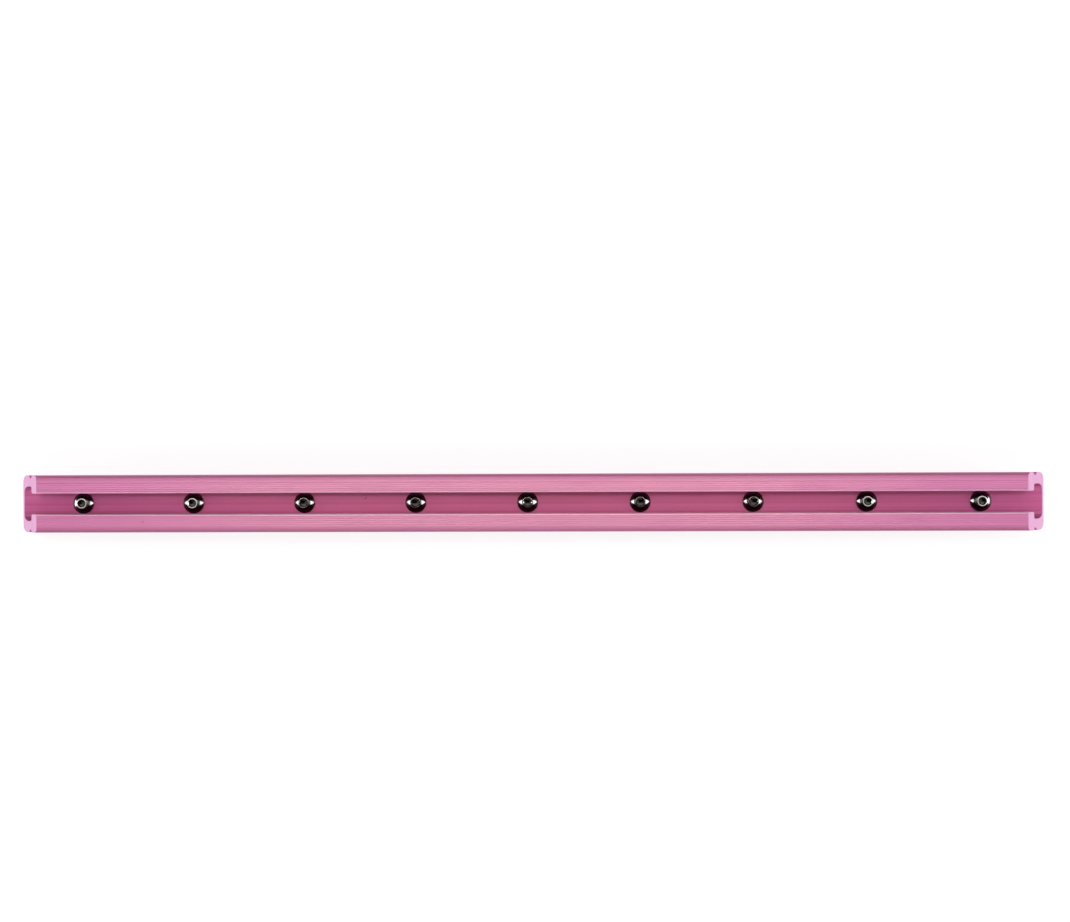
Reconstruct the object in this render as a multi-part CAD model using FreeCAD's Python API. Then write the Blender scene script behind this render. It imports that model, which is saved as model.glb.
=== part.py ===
"""Slotted accessory track: an aluminium C-section rail with mitred ends and a row of button-head screws.

Frame, in millimetres: X runs along the rail, Y across it, +Z out of the slot. The origin is the middle of the
back face, which lies against the support; the screw shanks pass through it into the support, below Z = 0.
"""
import FreeCAD, Part

import math
import os

Vector = FreeCAD.Vector
OUT_DIR = "parts"

# Screws and their spacing
SCREW_COUNT = 9
SCREW_PITCH = 50.0
END_MARGIN = 28.0  # from the last screw to the tip of the mitred end, at the back face

# Rail section
RAIL_WIDTH = 25.4
RAIL_DEPTH = 11.0
FLOOR = 1.0
LIP = 4.1
SLOT_WIDTH = 9.3
CAVITY_WIDTH = 15.4
MITRE_DEG = 45.0

# Corner radii of the section
BACK_EDGE_R = 3.0
FRONT_EDGE_R = 1.8
CAVITY_FLOOR_R = 2.8
CAVITY_CEILING_R = 1.0
LIP_INNER_R = 0.9
SLOT_EDGE_R = 0.6

# V groove along each side face, a right-angled V
V_GROOVE_DEPTH = 1.45
V_GROOVE_Z = 6.1
V_GROOVE_MOUTH_R = 0.25

# Fine lines along the front face of each lip
LINE_COUNT = 5
LINE_PITCH = 0.9
LINE_FIRST_Y = 5.6
LINE_WIDTH = 0.4
LINE_DEPTH = 0.12

# Button-head screw, number 10 size
HEAD_DIA = 9.17
HEAD_HEIGHT = 2.57
HEAD_RIM = 0.7  # the short upright band round the head's base
HEAD_FLAT_DIA = 4.4
SOCKET_FLATS = 3.175
SOCKET_DEPTH = 1.5
SOCKET_POINT_DEPTH = 0.9
SOCKET_CHAMFER = 0.25
SOCKET_TURN_DEG = 37.0  # each socket stands turned by this much from the one before it
THREAD_DIA = 4.83
NECK_DIA = 4.4
SHANK_LENGTH = 12.7
TIP_CHAMFER = 0.5
HOLE_DIA = 5.1

BACK_LENGTH = (SCREW_COUNT - 1) * SCREW_PITCH + 2 * END_MARGIN


def rounded_wire(corners):
    """A closed wire in the YZ plane through (y, z, radius) corners, each radius a tangent arc."""
    points = [Vector(0, y, z) for y, z, _ in corners]
    edges = []
    starts = []
    ends = []
    for i, (_, _, radius) in enumerate(corners):
        here = points[i]
        back = (points[i - 1] - here).normalize()
        ahead = (points[(i + 1) % len(points)] - here).normalize()
        if radius == 0:
            starts.append(here)
            ends.append(here)
            continue
        half = back.getAngle(ahead) / 2
        reach = radius / math.tan(half)
        centre = here + (back + ahead).normalize() * (radius / math.sin(half))
        start = here + back * reach
        end = here + ahead * reach
        middle = centre + (here - centre).normalize() * radius
        starts.append(start)
        ends.append(end)
        edges.append((i, Part.Arc(start, middle, end).toShape()))
    for i in range(len(points)):
        following = starts[(i + 1) % len(points)]
        edges.append((i + 0.5, Part.LineSegment(ends[i], following).toShape()))
    edges.sort(key=lambda pair: pair[0])
    return Part.Wire([edge for _, edge in edges])


def lip_line_corners():
    """The fine lines of one lip, from the outermost inwards, as corners of the front face."""
    corners = []
    for i in reversed(range(LINE_COUNT)):
        middle = LINE_FIRST_Y + i * LINE_PITCH
        corners.append((middle + LINE_WIDTH / 2, RAIL_DEPTH, 0))
        corners.append((middle, RAIL_DEPTH - LINE_DEPTH, 0))
        corners.append((middle - LINE_WIDTH / 2, RAIL_DEPTH, 0))
    return corners


def rail_section():
    """The rail's C-shaped face: the +Y half's corners, then the same corners mirrored."""
    side = RAIL_WIDTH / 2
    slot = SLOT_WIDTH / 2
    wall = CAVITY_WIDTH / 2
    ceiling = RAIL_DEPTH - LIP
    half = [
        (side, 0, BACK_EDGE_R),
        (side, V_GROOVE_Z - V_GROOVE_DEPTH, V_GROOVE_MOUTH_R),
        (side - V_GROOVE_DEPTH, V_GROOVE_Z, 0),
        (side, V_GROOVE_Z + V_GROOVE_DEPTH, V_GROOVE_MOUTH_R),
        (side, RAIL_DEPTH, FRONT_EDGE_R),
        *lip_line_corners(),
        (slot, RAIL_DEPTH, SLOT_EDGE_R),
        (slot, ceiling, LIP_INNER_R),
        (wall, ceiling, CAVITY_CEILING_R),
        (wall, FLOOR, CAVITY_FLOOR_R),
    ]
    mirrored = [(-y, z, radius) for y, z, radius in reversed(half)]
    return Part.Face(rounded_wire(half + mirrored))


def screw_positions():
    """X of each screw, evenly spaced about the middle of the rail."""
    first = -(SCREW_COUNT - 1) * SCREW_PITCH / 2
    return [first + i * SCREW_PITCH for i in range(SCREW_COUNT)]


def end_cutter(side):
    """A wedge that cuts one end (side is -1 or 1) back towards the front by the mitre."""
    tip = side * BACK_LENGTH / 2
    cut = RAIL_DEPTH * math.tan(math.radians(MITRE_DEG))
    half = RAIL_WIDTH
    outline = [
        Vector(tip, -half, 0),
        Vector(tip - side * cut, -half, RAIL_DEPTH),
        Vector(tip - side * cut, -half, 2 * RAIL_DEPTH),
        Vector(tip + side * cut, -half, 2 * RAIL_DEPTH),
        Vector(tip + side * cut, -half, 0),
        Vector(tip, -half, 0),
    ]
    return Part.Face(Part.makePolygon(outline)).extrude(Vector(0, 2 * half, 0))


def track_rail():
    """The extrusion, cut to length with mitred ends and drilled for the screws."""
    section = rail_section()
    section.translate(Vector(-BACK_LENGTH / 2, 0, 0))
    rail = section.extrude(Vector(BACK_LENGTH, 0, 0))
    rail = rail.cut([end_cutter(-1), end_cutter(1)])
    drills = []
    for x in screw_positions():
        drills.append(Part.makeCylinder(HOLE_DIA / 2, 2 * FLOOR, Vector(x, 0, -FLOOR / 2)))
    return rail.cut(drills)


def screw_body():
    """The screw turned about Z, with its head's underside at Z = 0 and the shank below it."""
    rim = HEAD_DIA / 2
    flat = HEAD_FLAT_DIA / 2
    neck = NECK_DIA / 2
    thread = THREAD_DIA / 2
    # The dome is part of a sphere centred on the axis, through the top of the rim and the edge of the flat.
    sphere_z = (flat**2 + HEAD_HEIGHT**2 - rim**2 - HEAD_RIM**2) / (2 * (HEAD_HEIGHT - HEAD_RIM))
    sphere_r = math.hypot(rim, HEAD_RIM - sphere_z)
    middle_angle = (math.atan2(HEAD_RIM - sphere_z, rim) + math.atan2(HEAD_HEIGHT - sphere_z, flat)) / 2
    rim_top = Vector(rim, 0, HEAD_RIM)
    flat_edge = Vector(flat, 0, HEAD_HEIGHT)
    dome_middle = Vector(sphere_r * math.cos(middle_angle), 0, sphere_z + sphere_r * math.sin(middle_angle))
    below = [
        rim_top,
        Vector(rim, 0, 0),
        Vector(neck, 0, 0),
        Vector(neck, 0, -FLOOR),
        Vector(thread, 0, -FLOOR),
        Vector(thread, 0, TIP_CHAMFER - SHANK_LENGTH),
        Vector(thread - TIP_CHAMFER, 0, -SHANK_LENGTH),
        Vector(0, 0, -SHANK_LENGTH),
        Vector(0, 0, HEAD_HEIGHT),
        flat_edge,
    ]
    edges = [Part.LineSegment(a, b).toShape() for a, b in zip(below, below[1:])]
    edges.append(Part.Arc(flat_edge, dome_middle, rim_top).toShape())
    outline = Part.Face(Part.Wire(edges))
    return outline.revolve(Vector(0, 0, 0), Vector(0, 0, 1), 360)


def hex_prism(across_flats, bottom_z, height):
    """A hexagonal prism about Z, with a corner on +X."""
    corner = across_flats / 2 / math.cos(math.pi / 6)
    points = []
    for i in range(7):
        angle = i * math.pi / 3
        points.append(Vector(corner * math.cos(angle), corner * math.sin(angle), bottom_z))
    return Part.Face(Part.makePolygon(points)).extrude(Vector(0, 0, height))


def socket_tool():
    """What is taken out of the head: the hexagon, the drill point under it and the lead-in at its mouth."""
    bottom = HEAD_HEIGHT - SOCKET_DEPTH
    corner = SOCKET_FLATS / 2 / math.cos(math.pi / 6)
    hexagon = hex_prism(SOCKET_FLATS, bottom, SOCKET_DEPTH + 1)
    point_z = bottom - SOCKET_POINT_DEPTH
    point = Part.makeCone(0, SOCKET_FLATS / 2, SOCKET_POINT_DEPTH, Vector(0, 0, point_z))
    lead_in_z = HEAD_HEIGHT - SOCKET_CHAMFER
    lead_in = Part.makeCone(corner - SOCKET_CHAMFER, corner, SOCKET_CHAMFER, Vector(0, 0, lead_in_z))
    return hexagon.fuse([point, lead_in])


def mounting_screw(index, x):
    """One screw, seated on the channel floor at x, with its socket turned by its place in the row."""
    screw = screw_body().cut(socket_tool())
    screw.rotate(Vector(0, 0, 0), Vector(0, 0, 1), index * SOCKET_TURN_DEG)
    screw.translate(Vector(x, 0, FLOOR))
    return screw


def main():
    os.makedirs(OUT_DIR, exist_ok=True)
    nodes = {"track_rail": track_rail()}
    for index, x in enumerate(screw_positions()):
        nodes[f"mounting_screw_{index + 1}"] = mounting_screw(index, x)
    for name, shape in nodes.items():
        solid = shape.Solids[0]
        if len(shape.Solids) != 1 or not solid.isValid():
            raise ValueError(f"{name} is not one valid solid")
        solid.exportStep(f"{OUT_DIR}/{name}.step")
        box = solid.BoundBox
        size = f"{box.XLength:.2f} x {box.YLength:.2f} x {box.ZLength:.2f} mm"
        print(f"{name}: {size}, {solid.Volume:.1f} mm3")


main()
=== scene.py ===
"""Slotted accessory track: pink anodised rail and polished dark button-head screws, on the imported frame."""

import math

import bmesh
import bpy
from mathutils import Matrix, Vector


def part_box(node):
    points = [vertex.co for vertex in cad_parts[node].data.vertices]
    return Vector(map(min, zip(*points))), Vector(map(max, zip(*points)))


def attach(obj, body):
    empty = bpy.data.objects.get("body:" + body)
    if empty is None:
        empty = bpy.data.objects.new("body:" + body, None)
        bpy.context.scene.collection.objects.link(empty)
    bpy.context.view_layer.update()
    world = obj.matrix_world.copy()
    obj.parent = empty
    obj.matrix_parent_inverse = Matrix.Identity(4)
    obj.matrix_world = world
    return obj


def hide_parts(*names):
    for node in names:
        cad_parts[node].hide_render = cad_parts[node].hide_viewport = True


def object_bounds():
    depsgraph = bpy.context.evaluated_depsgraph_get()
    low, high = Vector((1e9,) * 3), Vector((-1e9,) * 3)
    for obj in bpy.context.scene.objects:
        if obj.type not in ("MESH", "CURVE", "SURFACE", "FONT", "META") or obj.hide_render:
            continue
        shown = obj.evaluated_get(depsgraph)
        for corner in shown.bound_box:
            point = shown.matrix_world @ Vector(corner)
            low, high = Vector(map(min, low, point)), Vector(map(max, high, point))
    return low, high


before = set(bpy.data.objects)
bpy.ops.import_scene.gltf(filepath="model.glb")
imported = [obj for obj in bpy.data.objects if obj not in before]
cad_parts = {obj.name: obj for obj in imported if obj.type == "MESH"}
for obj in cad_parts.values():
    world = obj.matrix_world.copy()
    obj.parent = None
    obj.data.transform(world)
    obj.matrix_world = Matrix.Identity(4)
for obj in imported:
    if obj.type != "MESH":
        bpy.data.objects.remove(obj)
cad_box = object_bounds()

MM = 0.001

# Where things are, from the frame
RAIL_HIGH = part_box("track_rail")[1]
SCREW_NODES = sorted(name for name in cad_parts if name.startswith("mounting_screw_"))

# The rail's section, in metres from its middle plane and its back face
FLOOR_Z = 1.0 * MM
SLOT_HALF = 4.65 * MM
CAVITY_HALF = 7.7 * MM
LIP_UNDERSIDE_Z = 6.9 * MM

# Button-head screw, as in the CAD
HEAD_R = 4.585 * MM
HEAD_HEIGHT = 2.57 * MM
HEAD_RIM = 0.7 * MM
HEAD_FLAT_R = 2.2 * MM
SOCKET_FLATS = 3.175 * MM
SOCKET_DEPTH = 1.5 * MM
SOCKET_POINT = 0.9 * MM
SOCKET_CHAMFER = 0.25 * MM
SOCKET_TURN_DEG = 37.0
NECK_R = 2.2 * MM
THREAD_R = 2.415 * MM
THREAD_PITCH = 1.058 * MM
THREAD_DEPTH = 0.55 * MM
CREST_SHARE = 0.07  # of the pitch, from a crest's middle to its edge
FLANK_SHARE = 0.33  # of the pitch, from a crest's edge to the root
SHANK_LENGTH = 12.7 * MM
TIP_CHAMFER = 0.5 * MM
ROUND = 96  # points round a screw, a multiple of 6 so that the socket's corners are among them
SHARPEST_SMOOTH = math.radians(32)  # an edge that turns by more than this is shaded as a sharp one

# How far from the rail's middle its pink starts to turn darker and cooler, as painted shade, and where it is
# darkest and coolest
END_SHADE_FROM = 80 * MM
END_SHADE_FULL_FROM = 215 * MM

# Rail colours. The first four are pairs that the die streaks run between.
LIPS_MIDDLE = ((0.80, 0.315, 0.480), (0.87, 0.355, 0.520))
# Toward the ends the lips are darker and cooler: painted shade.
LIPS_SHADED_ENDS = ((0.70, 0.225, 0.455), (0.77, 0.260, 0.495))
# The channel's colours are darker than the lips': painted shade in the recess under the lips.
CHANNEL_SHADE_MIDDLE = ((0.55, 0.092, 0.230), (0.61, 0.118, 0.262))
CHANNEL_SHADE_ENDS = ((0.47, 0.065, 0.222), (0.52, 0.085, 0.250))
# Painted shadow along the foot of the channel's -Y wall.
CHANNEL_FOOT_SHADOW = (0.26, 0.035, 0.10)
# Painted shade on the outer edge roundings and side faces.
OUTER_ROUNDING_SHADE = (0.36, 0.090, 0.190)
FINE_LINES = (0.86, 0.38, 0.56)
CLOUDS = (0.60, 0.16, 0.36)
# Slot edges: painted highlight, paler on the lower lip, broken up by wear.
WORN_LIT_UPPER = (1.0, 0.66, 0.80)
WORN_LIT_LOWER = (1.0, 0.82, 0.90)
# Painted shade along the back edges.
BACK_EDGE_SHADE = (0.22, 0.06, 0.13)
PITS = (0.12, 0.03, 0.06)
SAWN = ((0.56, 0.27, 0.47), (0.66, 0.34, 0.55))

# Screw colours, the first two as pairs that the smears run between
BLACK_FINISH = ((0.052, 0.048, 0.046), (0.076, 0.071, 0.068))
RUBBED_FINISH = ((0.26, 0.25, 0.24), (0.38, 0.37, 0.36))
# Painted shade inside the socket.
SOCKET_SHADE = (0.024, 0.022, 0.021)

WHITE = (1.0, 1.0, 1.0, 1.0)
TABLE = ((0.31, 0.31, 0.31), (0.33, 0.33, 0.33))
FAR_GLOW = 0.95  # emission of the backdrop and of the floor far off
NEAR_GLOW = 0.74
WORLD_GLOW = 0.06
FLOOR_HALF = 6.0
BACKDROP_R = 5.5

# The camera: straight above the slot, a little up the picture, and turned by a degree or so
CAMERA_AT = Vector((0.0159, 0.0183, 0.5093))
CAMERA_YAW = math.radians(1.42)
CAMERA_ROLL = math.radians(-0.21)
CAMERA_LENS = 38.36  # in millimetres, as the sensor's width is
CAMERA_SENSOR = 36.0


# ---------------------------------------------------------------- materials

class Nodes:
    """A short way to write a material's node tree."""

    def __init__(self, name):
        self.material = bpy.data.materials.new(name)
        self.material.use_nodes = True
        self.tree = self.material.node_tree
        self.tree.nodes.clear()
        self.shader = self.tree.nodes.new("ShaderNodeBsdfPrincipled")
        output = self.tree.nodes.new("ShaderNodeOutputMaterial")
        self.tree.links.new(self.shader.outputs["BSDF"], output.inputs["Surface"])

    def put(self, socket, value):
        """Sets an input socket, or links it where the value is another node's output."""
        if isinstance(value, bpy.types.NodeSocket):
            self.tree.links.new(value, socket)
        else:
            socket.default_value = value

    def add(self, kind, inputs=(), output=0, **settings):
        node = self.tree.nodes.new("ShaderNode" + kind)
        for key, value in settings.items():
            setattr(node, key, value)
        for key, value in dict(inputs).items():
            self.put(node.inputs[key], value)
        return node.outputs[output]

    def math(self, operation, a, b=0.0):
        return self.add("Math", {0: a, 1: b}, operation=operation)

    def times(self, a, b):
        return self.math("MULTIPLY", a, b)

    def place(self, scale):
        """Object coordinates, in metres, times a scale for each axis."""
        coordinates = self.add("TexCoord", output="Object")
        return self.add("VectorMath", {0: coordinates, 1: scale}, operation="MULTIPLY")

    def distance(self, scale):
        """Distance from the object's origin, in metres, counting only the axes whose scale is 1."""
        return self.add("VectorMath", {0: self.place(scale)}, output="Value", operation="LENGTH")

    def axis(self, letter, source="Object"):
        """The X, Y or Z of the object's coordinates in metres, or of its normal."""
        return self.add("SeparateXYZ", {0: self.add("TexCoord", output=source)}, output=letter)

    def noise(self, scale, detail):
        """Noise over the object, with a scale for each axis in cells per metre."""
        inputs = {"Vector": self.place(scale), "Scale": 1.0, "Detail": detail, "Roughness": 0.55}
        return self.add("TexNoise", inputs, output="Fac")

    def ramp(self, value, low, high, out_low=0.0, out_high=1.0):
        """Maps low..high to out_low..out_high, smoothly and held at both ends."""
        inputs = {0: value, 1: low, 2: high, 3: out_low, 4: out_high}
        return self.add("MapRange", inputs, interpolation_type="SMOOTHSTEP")

    def mix(self, share, a, b):
        """Mixes two colours."""
        node = self.tree.nodes.new("ShaderNodeMix")
        node.data_type = "RGBA"
        self.put(node.inputs[0], share)
        self.put(node.inputs[6], a)
        self.put(node.inputs[7], b)
        return node.outputs[2]

    def between(self, share, pair):
        """Mixes the two colours of a pair."""
        return self.mix(share, opaque(pair[0]), opaque(pair[1]))

    def bump(self, height, strength, distance):
        inputs = {"Height": height, "Strength": strength, "Distance": distance}
        return self.add("Bump", inputs, output="Normal")


def opaque(colour):
    """A colour with full alpha."""
    return (*colour, 1.0)


def extruded_pink(n, along, side, height, fine):
    """Colour of the extruded faces, with painted shade: darker in the channel and round the outer edges,
    darker and cooler toward the ends.
    """
    across = n.math("ABSOLUTE", side)
    # Painted shade: the channel under the lips is coloured darker than the lips.
    inside_shade = n.times(
        n.ramp(across, CAVITY_HALF - 0.1 * MM, CAVITY_HALF + 0.5 * MM, 1.0, 0.0),
        n.ramp(height, LIP_UNDERSIDE_Z + 0.1 * MM, LIP_UNDERSIDE_Z + 2.6 * MM, 1.0, 0.0),
    )
    # Painted shadow: the channel floor darkens toward the foot of its -Y wall.
    foot_shadow = n.times(
        n.ramp(side, -4.4 * MM, -3.4 * MM, 0.45, 0.0),
        n.ramp(side, -7.0 * MM, -5.5 * MM),
    )
    streak = n.ramp(n.noise((0.6, 700, 700), detail=2.0), 0.35, 0.65)
    # Painted shade: darker and cooler pink toward both ends.
    end_shade = n.ramp(n.math("ABSOLUTE", along), END_SHADE_FROM, END_SHADE_FULL_FROM)
    lips = n.mix(end_shade, n.between(streak, LIPS_MIDDLE), n.between(streak, LIPS_SHADED_ENDS))
    channel = n.mix(end_shade, n.between(streak, CHANNEL_SHADE_MIDDLE), n.between(streak, CHANNEL_SHADE_ENDS))
    channel = n.mix(foot_shadow, channel, opaque(CHANNEL_FOOT_SHADOW))
    pink = n.mix(inside_shade, lips, channel)
    # Painted shade round the outer edges and on the side faces.
    pink = n.mix(n.times(outer_rounding(n, across), 0.75), pink, opaque(OUTER_ROUNDING_SHADE))
    pink = n.mix(n.ramp(fine, 0.3, 0.7, 0.0, 0.18), pink, opaque(FINE_LINES))
    cloud = n.noise((28, 120, 120), detail=3.0)
    return n.mix(n.ramp(cloud, 0.45, 0.75, 0.0, 0.2), pink, opaque(CLOUDS))


def outer_rounding(n, across):
    """0 on the lips, rising to 1 round the outer edges and on the side faces."""
    return n.ramp(across, RAIL_HIGH.y - 4.2 * MM, RAIL_HIGH.y - 1.1 * MM)


def slot_sheen_back_shade_and_pits(n, pink, side, height):
    """Adds the slot edges, pale from painted highlight and wear, the painted shade on the back edges and a
    few pits.
    """
    across = n.math("ABSOLUTE", side)
    # Painted highlight along the slot edges, broken up by wear, paler on the lower lip.
    slot_edge = n.times(
        n.ramp(across, SLOT_HALF + 0.2 * MM, SLOT_HALF + 0.6 * MM, 1.0, 0.0),
        n.ramp(height, RAIL_HIGH.z - 1.6 * MM, RAIL_HIGH.z - 0.7 * MM),
    )
    wear = n.ramp(n.noise((160, 300, 300), detail=3.0), 0.25, 0.6, 0.75, 1.0)
    lower = n.ramp(side, -1.0 * MM, 1.0 * MM, 1.0, 0.0)
    worn_and_lit = n.mix(lower, opaque(WORN_LIT_UPPER), opaque(WORN_LIT_LOWER))
    pink = n.mix(n.times(slot_edge, wear), pink, worn_and_lit)

    # Painted shade along the back edges, near the back face.
    back_edge_shade = n.times(
        n.ramp(across, RAIL_HIGH.y - 2.4 * MM, RAIL_HIGH.y - 1.0 * MM),
        n.ramp(height, 1.0 * MM, 3.2 * MM, 0.45, 0.0),
    )
    pink = n.mix(back_edge_shade, pink, opaque(BACK_EDGE_SHADE))

    pits = n.noise((420, 420, 420), detail=1.0)
    return n.mix(n.ramp(pits, 0.79, 0.83, 0.0, 0.8), pink, opaque(PITS))


def anodised_rail():
    """Pink anodised aluminium with die lines along it, and paler cut faces with saw marks."""
    n = Nodes("anodised_rail")
    along = n.axis("X")
    side = n.axis("Y")
    height = n.axis("Z")
    facing = n.axis("X", source="Normal")

    fine = n.noise((1.2, 5200, 5200), detail=2.0)
    pink = slot_sheen_back_shade_and_pits(n, extruded_pink(n, along, side, height, fine), side, height)
    sawn = n.ramp(n.math("ABSOLUTE", facing), 0.55, 0.65)
    saw = n.noise((900, 60, 9000), detail=2.0)
    cut = n.between(n.ramp(saw, 0.3, 0.7), SAWN)
    n.put(n.shader.inputs["Base Color"], n.mix(sawn, pink, cut))
    n.shader.inputs["Metallic"].default_value = 0.55
    rounding = outer_rounding(n, n.math("ABSOLUTE", side))
    rough = n.math("ADD", n.ramp(fine, 0.25, 0.75, 0.36, 0.48), n.times(rounding, 0.12))
    n.put(n.shader.inputs["Roughness"], rough)
    relief = n.math("ADD", fine, n.times(saw, sawn))
    n.put(n.shader.inputs["Normal"], n.bump(relief, 0.35, 0.00003))
    return n.material


def dark_screw():
    """Polished black finish, rubbed bright on the flat ring round the socket, with faint smears and painted
    shade inside the socket.
    """
    n = Nodes("dark_screw")
    height = n.axis("Z")
    from_axis = n.distance((1, 1, 0))
    rubbed = n.times(
        n.ramp(height, HEAD_HEIGHT - 0.07 * MM, HEAD_HEIGHT - 0.02 * MM),
        n.ramp(from_axis, HEAD_FLAT_R, HEAD_FLAT_R + 0.1 * MM, 1.0, 0.0),
    )
    # Painted shade: the inside of the socket is coloured darker.
    socket_shade = n.times(
        n.ramp(height, HEAD_HEIGHT - 0.6 * MM, HEAD_HEIGHT - 0.25 * MM, 1.0, 0.0),
        n.ramp(from_axis, 1.85 * MM, 1.95 * MM, 1.0, 0.0),
    )
    in_head = n.ramp(height, -0.2 * MM, 0.2 * MM)
    smear = n.noise((500, 500, 500), detail=3.0)
    black = n.mix(n.times(socket_shade, in_head), n.between(smear, BLACK_FINISH), opaque(SOCKET_SHADE))
    n.put(n.shader.inputs["Base Color"], n.mix(rubbed, black, n.between(smear, RUBBED_FINISH)))
    n.shader.inputs["Metallic"].default_value = 1.0
    n.put(n.shader.inputs["Roughness"], n.ramp(smear, 0.3, 0.75, 0.10, 0.18))
    grain = n.noise((4000, 4000, 4000), detail=2.0)
    n.put(n.shader.inputs["Normal"], n.bump(grain, 0.12, 0.00001))
    return n.material


def pale_floor():
    """A white table that glows a little, so that shadows stay faint and it is as pale far off as near."""
    n = Nodes("pale_floor")
    grain = n.noise((3, 3, 3), detail=2.0)
    n.put(n.shader.inputs["Base Color"], n.between(grain, TABLE))
    n.shader.inputs["Roughness"].default_value = 0.9
    n.shader.inputs["Specular IOR Level"].default_value = 0.1
    n.shader.inputs["Emission Color"].default_value = WHITE
    glow = n.ramp(n.distance((1, 1, 1)), 0.6, 1.8, NEAR_GLOW, FAR_GLOW)
    n.put(n.shader.inputs["Emission Strength"], glow)
    return n.material


def pale_backdrop():
    """Even white, as bright as the far floor."""
    n = Nodes("pale_backdrop")
    n.shader.inputs["Base Color"].default_value = opaque((0.0, 0.0, 0.0))
    n.shader.inputs["Specular IOR Level"].default_value = 0.0
    n.shader.inputs["Emission Color"].default_value = WHITE
    n.shader.inputs["Emission Strength"].default_value = FAR_GLOW
    return n.material


# ---------------------------------------------------------------- screws

def hexagon_r(angle, across_flats):
    """Distance from the middle to a hexagon's side at an angle, with a corner at angle 0."""
    turn = (angle + math.pi / 6) % (math.pi / 3) - math.pi / 6
    return across_flats / 2 / math.cos(math.pi / 6 - abs(turn))


def thread_wave(turns):
    """0 on a thread's crest and 1 at its root, over one turn of the pitch."""
    share = turns % 1.0
    from_crest = min(share, 1.0 - share)
    return min(max((from_crest - CREST_SHARE) / FLANK_SHARE, 0.0), 1.0)


def screw_rings():
    """The surface from the socket's bottom, over the head and down the shank: (z, radius at an angle)."""
    mouth = SOCKET_FLATS / 2 / math.cos(math.pi / 6)
    edge = 0.08 * MM
    bottom = HEAD_HEIGHT - SOCKET_DEPTH
    rings = [
        (bottom, lambda a: SOCKET_FLATS / 2 * 0.96),
        (bottom, lambda a: hexagon_r(a, SOCKET_FLATS)),
        (HEAD_HEIGHT - 0.8 * SOCKET_CHAMFER, lambda a: hexagon_r(a, SOCKET_FLATS)),
        (HEAD_HEIGHT, lambda a: mouth),
    ]

    sphere_z = (HEAD_FLAT_R**2 + HEAD_HEIGHT**2 - HEAD_R**2 - HEAD_RIM**2) / (2 * (HEAD_HEIGHT - HEAD_RIM))
    sphere_r = math.hypot(HEAD_R, HEAD_RIM - sphere_z)
    first = math.atan2(HEAD_HEIGHT - sphere_z, HEAD_FLAT_R)
    last = math.atan2(HEAD_RIM - sphere_z, HEAD_R)
    steps = 18
    rings.append((HEAD_HEIGHT, lambda a: HEAD_FLAT_R - edge))
    for i in range(steps + 1):
        angle = first + (last - first) * i / steps
        radius = sphere_r * math.cos(angle)
        height = sphere_z + sphere_r * math.sin(angle)
        rings.append((height, lambda a, r=radius: r))
    rings.append((edge, lambda a: HEAD_R))
    rings.append((0.0, lambda a: HEAD_R - edge))
    rings.append((0.0, lambda a: NECK_R))
    rings.append((-FLOOR_Z, lambda a: NECK_R))

    rows_per_turn = 12
    run_out = 0.8 * THREAD_PITCH
    thread_top = -FLOOR_Z
    thread_end = -SHANK_LENGTH
    rows = round((thread_top - thread_end) / THREAD_PITCH * rows_per_turn)
    for i in range(rows + 1):
        z = thread_top + (thread_end - thread_top) * i / rows

        def thread_r(a, z=z):
            from_top = min((thread_top - z) / run_out, 1.0)
            crest = NECK_R + (THREAD_R - NECK_R) * from_top
            tip = THREAD_R - TIP_CHAMFER + (z - thread_end)
            root = THREAD_R - THREAD_DEPTH
            cut = thread_wave(z / THREAD_PITCH - a / (2 * math.pi))
            return min(crest - (crest - root) * cut, tip) if tip > root else min(root, tip)

        rings.append((z, thread_r))
    return rings


def screw_mesh():
    """One closed mesh: socket, domed head, neck and helical thread, its head's underside at z = 0."""
    rings = screw_rings()
    work = bmesh.new()
    grid = []
    for z, radius in rings:
        row = []
        for i in range(ROUND):
            angle = 2 * math.pi * i / ROUND
            r = radius(angle)
            row.append(work.verts.new((r * math.cos(angle), r * math.sin(angle), z)))
        grid.append(row)
    for upper, lower in zip(grid, grid[1:]):
        for i in range(ROUND):
            j = (i + 1) % ROUND
            work.faces.new((upper[i], lower[i], lower[j], upper[j]))
    point = work.verts.new((0, 0, HEAD_HEIGHT - SOCKET_DEPTH - SOCKET_POINT))
    for i in range(ROUND):
        work.faces.new((point, grid[0][i], grid[0][(i + 1) % ROUND]))
    work.faces.new(list(reversed(grid[-1])))
    bmesh.ops.recalc_face_normals(work, faces=work.faces)
    for face in work.faces:
        face.smooth = True
    for edge in work.edges:
        edge.smooth = edge.calc_face_angle(0.0) < SHARPEST_SMOOTH
    mesh = bpy.data.meshes.new("screw")
    work.to_mesh(mesh)
    work.free()
    return mesh


def add_screws(material):
    """One screw for each CAD screw, in a collection of their own."""
    screws = bpy.data.collections.new("screws")
    bpy.context.scene.collection.children.link(screws)
    mesh = screw_mesh()
    mesh.materials.append(material)
    for index, node in enumerate(SCREW_NODES):
        low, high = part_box(node)
        screw = bpy.data.objects.new(f"{node}_threaded", mesh.copy())
        screw.matrix_world = (
            Matrix.Translation(((low.x + high.x) / 2, (low.y + high.y) / 2, FLOOR_Z))
            @ Matrix.Rotation(math.radians(index * SOCKET_TURN_DEG), 4, "Z")
        )
        screws.objects.link(screw)
        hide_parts(node)
        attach(screw, "root")
    return screws


# ---------------------------------------------------------------- stage, light and camera

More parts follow.
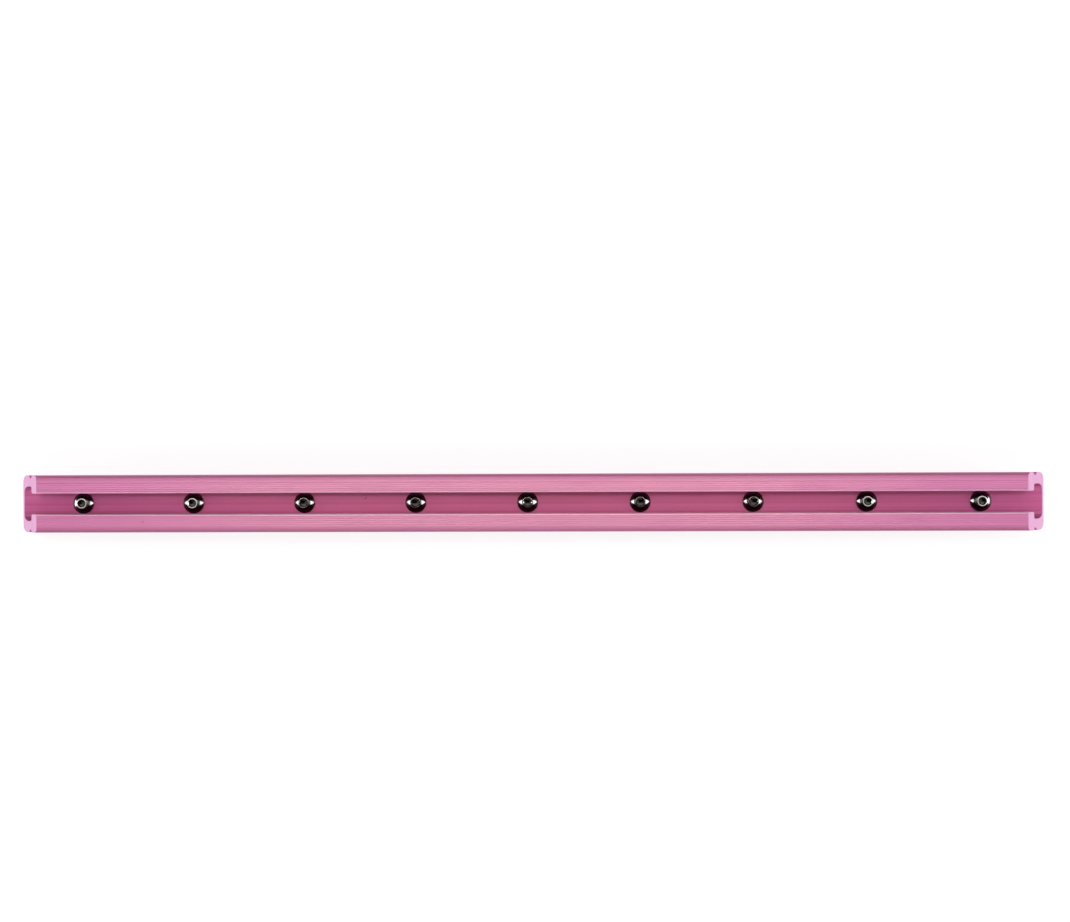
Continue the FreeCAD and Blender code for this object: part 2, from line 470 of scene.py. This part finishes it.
def add_floor(material):
    """A wide pale floor that the screws' tips stand on."""
    mesh = bpy.data.meshes.new("floor")
    corners = [(x * FLOOR_HALF, y * FLOOR_HALF, 0) for x, y in ((-1, -1), (1, -1), (1, 1), (-1, 1))]
    mesh.from_pydata(corners, [], [(0, 1, 2, 3)])
    mesh.materials.append(material)
    floor = bpy.data.objects.new("floor", mesh)
    floor.location.z = cad_box[0].z - 0.1 * MM
    bpy.context.scene.collection.objects.link(floor)


def add_backdrop(material):
    """A pale dome far behind everything: it is seen but lights nothing."""
    mesh = bpy.data.meshes.new("backdrop")
    work = bmesh.new()
    bmesh.ops.create_uvsphere(work, u_segments=64, v_segments=32, radius=BACKDROP_R)
    work.to_mesh(mesh)
    work.free()
    mesh.materials.append(material)
    dome = bpy.data.objects.new("backdrop", mesh)
    dome.visible_diffuse = False
    dome.visible_glossy = False
    dome.visible_transmission = False
    dome.visible_shadow = False
    bpy.context.scene.collection.objects.link(dome)


def add_softbox(name, lean_x, lean_y, distance, size, radiance, only=None):
    """An area light facing the origin, its direction leaning so many degrees from +Z toward +X and +Y."""
    towards = Vector((math.tan(math.radians(lean_x)), math.tan(math.radians(lean_y)), 1.0)).normalized()
    data = bpy.data.lights.new(name, "AREA")
    data.shape = "RECTANGLE"
    data.size, data.size_y = size
    data.energy = radiance * math.pi * size[0] * size[1]
    level = Vector((1, 0, 0)) if abs(lean_y) > abs(lean_x) else Vector((0, 1, 0))
    up = towards.cross(level).normalized()
    light = bpy.data.objects.new(name, data)
    light.matrix_world = Matrix((up.cross(towards), up, towards)).transposed().to_4x4()
    light.location = towards * distance
    light.visible_camera = False
    if only:
        light.light_linking.receiver_collection = only
    bpy.context.scene.collection.objects.link(light)


def add_lights(screws):
    """Side, front and top softboxes round a dark middle, where the camera is, and four for the screws."""
    add_softbox("side_left", -76, 0, 1.2, (0.9, 0.75), 3.5)
    add_softbox("side_right", 73, 0, 1.2, (0.9, 0.75), 3.5)
    add_softbox("front", 0, -38, 1.2, (1.6, 0.5), 2.3)
    add_softbox("overhead", 0, 19, 1.2, (1.4, 0.5), 3.3)
    add_softbox("overhead_left", -34, 0, 1.2, (0.6, 0.62), 0.5)
    add_softbox("overhead_right", 34, 0, 1.2, (0.6, 0.62), 0.5)
    add_softbox("glint_left", -74, 0, 1.1, (1.15, 0.85), 16.0, only=screws)
    add_softbox("glint_right", 70, 0, 1.1, (1.15, 0.85), 16.0, only=screws)
    add_softbox("ring_left", -33, 0, 1.1, (0.5, 0.5), 1.3, only=screws)
    add_softbox("ring_right", 33, 0, 1.1, (0.5, 0.5), 1.3, only=screws)

    world = bpy.data.worlds.new("studio")
    world.use_nodes = True
    background = world.node_tree.nodes["Background"]
    background.inputs["Color"].default_value = WHITE
    background.inputs["Strength"].default_value = WORLD_GLOW
    bpy.context.scene.world = world


def add_camera():
    """The one camera, nearly straight above the slot."""
    data = bpy.data.cameras.new("camera")
    data.sensor_width = CAMERA_SENSOR
    data.lens = CAMERA_LENS
    data.clip_start = 0.01
    data.clip_end = 50.0
    camera = bpy.data.objects.new("camera", data)
    turn = Matrix.Rotation(CAMERA_YAW, 4, "Y") @ Matrix.Rotation(CAMERA_ROLL, 4, "Z")
    camera.matrix_world = Matrix.Translation(CAMERA_AT) @ turn
    bpy.context.scene.collection.objects.link(camera)
    bpy.context.scene.camera = camera


rail_material = anodised_rail()
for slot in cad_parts["track_rail"].material_slots:
    slot.material = rail_material
add_floor(pale_floor())
add_backdrop(pale_backdrop())
add_lights(add_screws(dark_screw()))
add_camera()
bpy.context.scene.view_settings.view_transform = "Standard"
